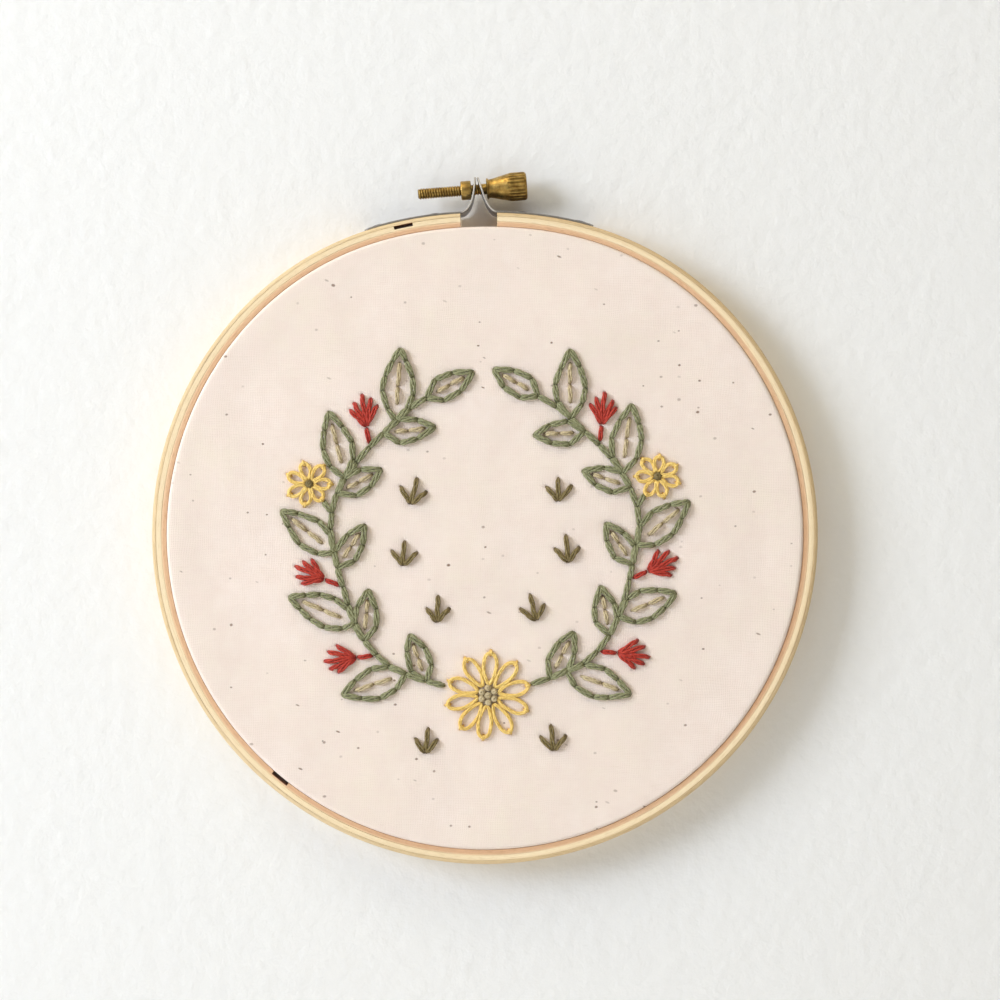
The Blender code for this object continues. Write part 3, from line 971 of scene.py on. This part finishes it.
def cloth_places(holes):
    """Flat places for the cloth's mesh: its edge, a fine grid, and rings round each hole."""
    angles = np.linspace(0, 360, CLOTH_RIM_STEPS, endpoint=False)
    reach = (CLOTH_RIM_RADIUS - CLOTH_EDGE) * squeeze(angles)
    edge = np.stack([reach * np.sin(np.radians(angles)), reach * np.cos(np.radians(angles))], axis=1)
    line = np.arange(-CLOTH_RIM_RADIUS, CLOTH_RIM_RADIUS, CLOTH_FINE_PITCH)
    grid = np.stack(np.meshgrid(line, line), axis=-1).reshape(-1, 2)
    turn = np.degrees(np.arctan2(grid[:, 0], grid[:, 1]))
    inside = np.hypot(*grid.T) < (CLOTH_RIM_RADIUS - CLOTH_EDGE) * squeeze(turn) - 0.6
    grid = grid[inside]
    grid = grid[nearest_hole(grid, holes) > HOLE_RINGS[-1][0] + 0.35]
    around = [holes]
    for radius, count in HOLE_RINGS:
        for number in range(count):
            turn = 2 * math.pi * number / count
            around.append(holes + radius * np.array((math.cos(turn), math.sin(turn))))
    return np.vstack([edge, grid, *around])


def cloth_relief(places, holes):
    """How far the cloth lies behind its front plane at flat places, and how near a hole each lies: the
    dimple's share, which the calico also paints as shade in the hole.
    """
    nearest = nearest_hole(places, holes)
    pinch_and_hole_shade = np.exp(-((nearest / HOLE_SPREAD) ** 2))
    pull = PULL_DEPTH * np.exp(-((nearest / PULL_SPREAD) ** 2))
    rng = np.random.default_rng(5)
    drift = np.zeros(len(places))
    for _ in range(26):
        way = direction(rng.uniform(0, 360))
        length = rng.uniform(7, 34)
        wave = 2 * math.pi * (places @ way) / length + rng.uniform(0, 2 * math.pi)
        drift += 0.0016 * length * np.sin(wave)
    middle = np.clip((CLOTH_RIM_RADIUS - CLOTH_EDGE - np.hypot(*places.T)) / 8, 0, 1)
    return HOLE_DEPTH * pinch_and_hole_shade + pull + (drift - drift.min()) * 0.5 * middle, pinch_and_hole_shade


def make_cloth(work, material):
    """The stretched cloth: its pricked face, its round edge, and its rim between the rings."""
    holes = distinct(work.holes, 0.45)
    places = cloth_places(holes)
    flat_points, _, triangles, origins, _, _ = delaunay_2d_cdt(
        [Vector(place) for place in places], [], [], 0, 1e-4
    )
    flat = np.array(flat_points)
    behind, pinch_and_hole_shade = cloth_relief(flat, holes)
    face = np.column_stack([flat[:, 0], CLOTH_FRONT + behind, flat[:, 1] + HOOP_CENTRE_Z])
    edge_of = {number: index for index, numbers in enumerate(origins) for number in numbers}
    edge = [edge_of[number] for number in range(CLOTH_RIM_STEPS)]
    angles = np.linspace(0, 360, CLOTH_RIM_STEPS, endpoint=False)
    rows = []
    for step in range(1, EDGE_STEPS + 2):
        turn = math.radians(90) * step / (EDGE_STEPS + 1)
        radius = CLOTH_RIM_RADIUS - CLOTH_EDGE + CLOTH_EDGE * math.sin(turn)
        depth = CLOTH_FRONT + CLOTH_EDGE - CLOTH_EDGE * math.cos(turn)
        rows.append(on_ring(radius, depth, angles))
    ripple = waver(angles, 0.12, 31, 20, 90)
    trim = waver(angles, 0.35, 32, 8, 160)
    rim_start = CLOTH_FRONT + CLOTH_EDGE
    for step in range(1, 9):
        share = step / 8
        depth = rim_start + (CLOTH_RIM_END + trim - 0.35 - rim_start) * share
        rows.append(on_ring(CLOTH_RIM_RADIUS + (ripple - 0.12) * share, depth, angles))
    rim = np.vstack(rows)
    rim_faces = grid_faces(len(rows), CLOTH_RIM_STEPS, close_columns=True) + len(face)
    first = len(face) + np.arange(CLOTH_RIM_STEPS)
    join = np.stack([edge, np.roll(edge, -1), np.roll(first, -1), first], axis=1)
    faces = [list(triangle) for triangle in triangles] + join.tolist() + rim_faces.tolist()
    # The dimple's share, which also masks the painted shade in the holes
    attributes = {"pinch_and_hole_shade": np.concatenate([pinch_and_hole_shade, np.zeros(len(rim))])}
    cloth = new_piece("calico_cloth", np.vstack([face, rim]), faces, material, attributes)
    if cloth.data.polygons[0].normal.y > 0:
        cloth.data.flip_normals()
    body = cloth.modifiers.new("Thickness", "SOLIDIFY")
    body.thickness = CLOTH_THICKNESS * MM
    body.offset = -1
    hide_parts("cloth")
    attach(cloth, "hoop")
    return cloth


# The clamp's metal
THREAD_PITCH = 0.65
THREAD_DEPTH = 0.2
ROD_RADIUS = 1.33
ROD_LEFT_END = -15.0
# The knob's outline, along the screw from the clamp's middle: along, radius
KNOB_OUTLINE = (
    (2.05, 2.2),
    (2.1, 2.5),
    (2.2, 2.6),
    (2.45, 2.6),
    (2.55, 2.5),
    (2.6, 2.3),
    (3.0, 2.3),
    (3.6, 2.42),
    (5.0, 2.77),
    (6.5, 3.11),
    (7.5, 3.36),
    (8.0, 3.46),
    (8.4, 3.5),
    (11.3, 3.5),
    (11.7, 3.4),
    (11.95, 3.2),
    (12.08, 2.9),
    (12.1, 2.4),
)
FLUTES = 22
FLUTE_DEPTH = 0.2
FLUTE_START = 7.3
FLUTE_END = 11.75
NUT_LEFT = -4.35
NUT_RIGHT = -1.75
NUT_RADIUS = 2.35
NUT_BORE = 1.37

STRAP_THICKNESS = 0.45
STRAP_WIDTH = 8.5
STRAP_ANGLE = 20.5
STRAP_INNER_END = 4.6
STRAP_SEAT = 0.02
STRAP_EDGE = 0.13
STRAP_CORNER = 1.2
STRAP_STEPS = 40
EAR_STEPS = 48
EAR_HOLE_RADIUS = 1.5
# How much lighter the sheared edges are painted: bare steel, and a painted highlight
STRAP_SHINE = 0.45
EAR_SHINE = 0.9
# Bends of each ear's curve: distance out, height from the screw
EAR_BENDS = {
    "left": ((2.2, -5.6), (1.15, -2.5), (0.95, 3.1)),
    "right": ((2.6, -5.6), (1.5, -2.3), (0.08, 3.1)),
}
SIDES = {"left": -1, "right": 1}
RIVET_ANGLES = {"near": 8.0, "far": 18.3}
RIVET_RADIUS = 1.9
RIVET_RIM = 0.18
RIVET_DOME = 0.45


def along_screw():
    """The matrix that puts a piece's Z axis along the screw, towards its knob, in millimetres."""
    turn = SCREW_AXIS.to_track_quat("Z", "Y").to_matrix().to_4x4()
    return Matrix.Translation(SCREW_POINT) @ turn


def turned_points(along, radius, columns):
    """Points round an axis, row by row; the radius may differ round each row."""
    turns = np.linspace(0, 2 * math.pi, columns, endpoint=False)
    radius = np.broadcast_to(np.asarray(radius), (len(along), columns))
    x = radius * np.cos(turns)
    y = radius * np.sin(turns)
    z = np.broadcast_to(np.asarray(along)[:, None], x.shape)
    return np.stack([x, y, z], axis=-1).reshape(-1, 3)


def placed(points, matrix):
    turned = np.asarray(points) @ np.array(matrix.to_3x3()).T
    return turned + np.array(matrix.translation)


def screw_rod():
    """The threaded rod from its left end to inside the knob: places along it, radii and painted shade
    in the roots.
    """
    along = np.arange(ROD_LEFT_END, KNOB_OUTLINE[0][0] + 0.3, THREAD_PITCH / 12)
    columns = 40
    turns = np.linspace(0, 1, columns, endpoint=False)
    share = (along[:, None] / THREAD_PITCH - turns) % 1
    root = np.clip(1.25 - np.abs(share * 2 - 1) * 1.9, 0, 1)
    root = root * root * (3 - 2 * root)
    chamfer = np.clip((along - ROD_LEFT_END) / 0.4, 0, 1)[:, None]
    plain = np.clip((along - KNOB_OUTLINE[0][0] + 1.2) / 0.3, 0, 1)[:, None]
    radius = ROD_RADIUS - THREAD_DEPTH * root * (1 - plain)
    radius = np.minimum(radius, ROD_RADIUS * (0.74 + 0.26 * chamfer))
    return along, radius, 0.6 * root * (1 - plain)


def knob():
    """The knob, a flared neck and a head with straight flutes: places along it, radii and painted
    shade in the flutes.
    """
    outline = np.array(KNOB_OUTLINE)
    fine = np.unique(np.concatenate([outline[:, 0], np.arange(outline[0, 0], outline[-1, 0], 0.14)]))
    radius = np.interp(fine, outline[:, 0], outline[:, 1])
    columns = FLUTES * 8
    turns = np.linspace(0, 1, columns, endpoint=False)
    wave = (0.5 - 0.5 * np.cos(2 * math.pi * FLUTES * turns)) ** 1.1
    start = np.clip((fine - FLUTE_START) / 0.9, 0, 1)
    end = np.clip((FLUTE_END - fine) / 0.2, 0, 1)
    mask = np.minimum(start, end)[:, None]
    return fine, radius[:, None] - FLUTE_DEPTH * wave * mask, 0.7 * wave * mask


def make_thumbscrew(material):
    """The rod and its knob as one piece, which turns."""
    points = np.empty((0, 3))
    faces = []
    roots = []
    for along, radii, root in (screw_rod(), knob()):
        columns = radii.shape[1]
        faces += tube_faces(len(along), columns, len(points))
        points = np.vstack([points, turned_points(along, radii, columns)])
        roots.append(root.ravel())
    points = placed(points, along_screw())
    # Painted shade in the thread roots and flutes
    facts = {"hollow_shade": np.concatenate(roots)}
    screw = new_piece("brass_screw", points, faces, material, facts, sharp_angle=40)
    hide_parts("thumbscrew")
    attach(screw, "thumbscrew")
    return screw


def make_nut(material):
    """A round nut with turned chamfers."""
    outline = (
        (NUT_RIGHT, NUT_BORE),
        (NUT_RIGHT, NUT_RADIUS - 0.22),
        (NUT_RIGHT - 0.1, NUT_RADIUS - 0.08),
        (NUT_RIGHT - 0.26, NUT_RADIUS),
        (NUT_LEFT + 0.26, NUT_RADIUS),
        (NUT_LEFT + 0.1, NUT_RADIUS - 0.08),
        (NUT_LEFT, NUT_RADIUS - 0.22),
        (NUT_LEFT, NUT_BORE + 0.2),
        (NUT_LEFT + 0.2, NUT_BORE),
    )
    columns = 64
    along, radius = np.array(outline).T
    points = placed(turned_points(along, radius[:, None], columns), along_screw())
    faces = grid_faces(len(outline), columns, close_rows=True, close_columns=True)
    # Painted shade on the bore and the faces beside it
    hollow_shade = np.repeat([1, 0.1, 0, 0, 0, 0, 0.1, 0.6, 1], columns)
    nut = new_piece("brass_nut", points, faces, material, {"hollow_shade": hollow_shade}, sharp_angle=50)
    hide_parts("nut")
    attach(nut, "hoop")
    return nut


def ring_outside(angle, lift):
    """A place on the outer ring's outside, lifted off it: (across, height)."""
    reach = OUTER_HOOP_OUTSIDE * float(squeeze(angle)) + lift
    turn = math.radians(angle)
    return Vector((reach * math.sin(turn), HOOP_CENTRE_Z + reach * math.cos(turn)))


def bracket_line(side_name):
    """The bracket's outer line from its strap's end to its ear's tip: (distance, height)."""
    lift = STRAP_SEAT + STRAP_THICKNESS
    inner_angle = math.degrees(math.asin(STRAP_INNER_END / OUTER_HOOP_OUTSIDE))
    angles = np.linspace(STRAP_ANGLE, inner_angle, STRAP_STEPS)
    strap = [ring_outside(angle, lift) for angle in angles]
    foot, flank, tip = (Vector((x, z + SCREW_POINT.z)) for x, z in EAR_BENDS[side_name])
    ear = interpolate_bezier(strap[-1], foot, flank, tip, EAR_STEPS)
    return np.array([tuple(spot)[:2] for spot in strap + list(ear[1:])])


def make_bracket(side_name, material):
    """A strap and ear of one bent sheet, its ear round at the top and pierced for the screw."""
    side = SIDES[side_name]
    line = bracket_line(side_name)
    step = np.gradient(line, axis=0)
    step /= np.linalg.norm(step, axis=1, keepdims=True)
    outward = np.column_stack([step[:, 1], -step[:, 0]])
    radius = STRAP_WIDTH / 2
    past = line[:, 1] - (line[-1, 1] - radius)
    start = np.hypot(*(line - line[0]).T)
    half = np.where(past > 0, np.sqrt(np.clip(radius**2 - past**2, 0.09, None)), radius)
    corner = np.clip(start / STRAP_CORNER, 0, 1)
    rounded = radius - STRAP_CORNER + STRAP_CORNER * np.sqrt(1 - (1 - corner) ** 2)
    half = np.where(start < STRAP_CORNER, rounded, half)
    rows = []
    bare_edge_highlight = []
    for index, place in enumerate(line):
        low = (-STRAP_THICKNESS, -half[index])
        outline = rounded_box(low, (0.0, half[index]), (STRAP_EDGE,) * 4)
        shine = EAR_SHINE if index > STRAP_STEPS else STRAP_SHINE
        bare_edge_highlight.append(np.where(np.abs(outline[:, 1]) > half[index] - STRAP_EDGE / 2, shine, 0.0))
        flat = place + outline[:, :1] * outward[index]
        rows.append(np.column_stack([side * flat[:, 0], outline[:, 1], flat[:, 1]]))
    points = np.array(rows)
    faces = tube_faces(*points.shape[:2])
    name = f"steel_bracket_{side_name}"
    bracket = new_piece(name, points.reshape(-1, 3), faces, material, {"bare_edge_highlight": bare_edge_highlight}, sharp_angle=45)
    cut_screw_hole(bracket)
    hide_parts("bracket_" + side_name)
    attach(bracket, "hoop")
    return bracket


def cut_screw_hole(bracket):
    """Cuts the ear's hole with a short cylinder along the screw, which is then removed."""
    mesh = bpy.data.meshes.new("screw_hole")
    shell = bmesh.new()
    sizes = {"radius1": EAR_HOLE_RADIUS, "radius2": EAR_HOLE_RADIUS, "depth": 9.0}
    bmesh.ops.create_cone(shell, cap_ends=True, segments=48, **sizes)
    shell.to_mesh(mesh)
    shell.free()
    mesh.transform(Matrix.Scale(MM, 4) @ along_screw())
    cutter = add_object("screw_hole", mesh)
    boolean = bracket.modifiers.new("Hole", "BOOLEAN")
    boolean.operation = "DIFFERENCE"
    boolean.object = cutter
    graph = bpy.context.evaluated_depsgraph_get()
    pierced = bpy.data.meshes.new_from_object(bracket.evaluated_get(graph))
    bracket.modifiers.clear()
    bracket.data = pierced
    bracket.data.set_sharp_from_angle(angle=math.radians(45))
    bpy.data.objects.remove(cutter)


def make_rivet(side_name, spot_name, material):
    """A domed head seated on the strap, with a short shank into the wood."""
    angle = SIDES[side_name] * RIVET_ANGLES[spot_name]
    seat = STRAP_SEAT + STRAP_THICKNESS
    outline = [(-2.0, 0.6), (seat, 0.6), (seat, RIVET_RADIUS - 0.05)]
    for step in range(12):
        lean = math.radians(90) * step / 12
        bulge = RIVET_DOME * math.sin(lean) ** 0.9
        outline.append((seat + RIVET_RIM + bulge, RIVET_RADIUS * math.cos(lean) ** 0.9))
    columns = 48
    along, radius = np.array(outline).T
    points = turned_points(along, radius[:, None], columns)
    top = np.array([[0, 0, seat + RIVET_RIM + RIVET_DOME]])
    faces = grid_faces(len(outline), columns, close_columns=True).tolist()
    faces.append(list(range(columns)))
    last = (len(outline) - 1) * columns
    tip = len(points)
    faces += [[last + number, last + (number + 1) % columns, tip] for number in range(columns)]
    foot = ring_outside(angle, 0.0)
    stand = Matrix.Translation((foot.x, 0, foot.y)) @ Matrix.Rotation(math.radians(angle), 4, "Y")
    name = f"steel_rivet_{side_name}_{spot_name}"
    rivet = new_piece(name, placed(np.vstack([points, top]), stand), faces, material, sharp_angle=40)
    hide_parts(f"rivet_{side_name}_{spot_name}")
    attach(rivet, "hoop")
    return rivet


# The stage, in metres
WALL_GAP = 0.2 * MM
WALL_REACH = 0.8
FLOOR_REACH = 2
FLOOR_Z = -0.30
CAMERA_DISTANCE = 0.5
CAMERA_ROLL = 1.13
VIEW_WIDTH = 0.2459
VIEW_SHIFT = (0.00387, 0.00831)
# Soft lights: direction from the hoop's middle, distance, size, watts, colour
LIGHTS = {
    "window_light": ((-0.8, -0.52, 0.31), 1.7, 0.76, 24.0, (0.78, 0.86, 1.0)),
    "high_left_light": ((-0.5, -0.3, 0.8), 1.4, 0.6, 4.3, (1.0, 0.88, 0.6)),
    "top_left_light": ((-0.22, -0.55, 0.80), 1.4, 0.8, 3.3, (1.0, 0.94, 0.76)),
    "top_right_light": ((0.4, -0.5, 0.8), 1.4, 0.9, 2.6, (1.0, 0.93, 0.82)),
    "front_light": ((0.4, -0.9, 0.3), 1.5, 1.0, 1.2, (1.0, 0.92, 0.84)),
    "back_light": ((0.12, 1.0, 0.16), 1.1, 0.8, 7.0, (1.0, 0.99, 0.97)),
}
# The surroundings: the light that they give, and the colour that is seen behind the scene
FILL_COLOUR = (0.09, 0.09, 0.09, 1.0)
BACKGROUND_COLOUR = (0.62, 0.62, 0.61, 1.0)


def flat_panel(name, corners, material):
    mesh = bpy.data.meshes.new(name)
    mesh.from_pydata(corners, [], [(0, 1, 2, 3)])
    mesh.materials.append(material)
    return add_object(name, mesh)


def make_stage():
    """A wall just behind the hoop, and a floor below it."""
    back = BACK * MM + WALL_GAP
    sides = ((-1, -1), (1, -1), (1, 1), (-1, 1))
    wall_corners = [(x * WALL_REACH, back, FLOOR_Z + (1 + z) * WALL_REACH) for x, z in sides]
    wall = flat_panel("backdrop_wall", wall_corners, one_sided_wall())
    wall.visible_shadow = False
    floor_corners = [(x * FLOOR_REACH, y * FLOOR_REACH, FLOOR_Z) for x, y in sides]
    floor = flat_panel("floor", floor_corners, pale_floor())


def area_light(name, place, target, size, watts, colour):
    light = bpy.data.lights.new(name, "AREA")
    light.shape = "SQUARE"
    light.size = size
    light.energy = watts
    light.color = colour
    obj = add_object(name, light)
    obj.location = place
    obj.rotation_euler = (target - place).to_track_quat("-Z", "Y").to_euler()


def make_lights():
    middle = Vector((0, 0, HOOP_CENTRE_Z * MM))
    for name, (way, distance, size, watts, colour) in LIGHTS.items():
        place = middle + Vector(way).normalized() * distance
        area_light(name, place, middle, size, watts, colour)
    bpy.context.scene.view_settings.view_transform = "Standard"


def make_surroundings():
    """An even fill light, whose pale background is only seen and gives no light."""
    world = bpy.data.worlds.new("pale_world")
    world.use_nodes = True
    tree = world.node_tree
    seen = tree.nodes.new("ShaderNodeLightPath").outputs["Is Camera Ray"]
    either = tree.nodes.new("ShaderNodeMix")
    either.data_type = "RGBA"
    either.inputs[6].default_value = FILL_COLOUR
    either.inputs[7].default_value = BACKGROUND_COLOUR
    tree.links.new(seen, either.inputs[0])
    tree.links.new(either.outputs[2], tree.nodes["Background"].inputs["Color"])
    bpy.context.scene.world = world


def make_camera():
    data = bpy.data.cameras.new("camera")
    data.sensor_fit = "HORIZONTAL"
    data.angle = 2 * math.atan(VIEW_WIDTH / 2 / CAMERA_DISTANCE)
    camera = add_object("camera", data)
    roll = math.radians(CAMERA_ROLL)
    right = Vector((math.cos(roll), 0, -math.sin(roll)))
    up = Vector((math.sin(roll), 0, math.cos(roll)))
    turn = Matrix((right, up, Vector((0, -1, 0)))).transposed()
    across, above = VIEW_SHIFT
    place = Vector((across, FRONT * MM - CAMERA_DISTANCE, HOOP_CENTRE_Z * MM + above))
    camera.matrix_world = Matrix.Translation(place) @ turn.to_4x4()
    bpy.context.scene.camera = camera


def main():
    make_stage()
    make_lights()
    make_surroundings()
    make_camera()
    for name in PLIES:
        _, end, _, _ = PLIES[name]
        light, dark, line, beyond = PLY_COLOURS[name]
        edge = OUTER_HOOP_INSIDE + end
        outward = (beyond, edge - PLY_BLEND, edge)
        make_ply(name, wood(name + "_wood", light, dark, line, outward))
    make_inner_hoop(wood("inner_hoop_wood", (240, 212, 168), (230, 197, 150), (202, 162, 114)))
    work = sew_wreath()
    cloth = make_cloth(work, calico())
    for name, paths in work.paths.items():
        make_thread(name, paths, floss(name))
    brass = aged_brass()
    steel = sheet_steel()
    make_thumbscrew(brass)
    make_nut(brass)
    for side_name in SIDES:
        make_bracket(side_name, steel)
        for spot_name in RIVET_ANGLES:
            make_rivet(side_name, spot_name, steel)


main()
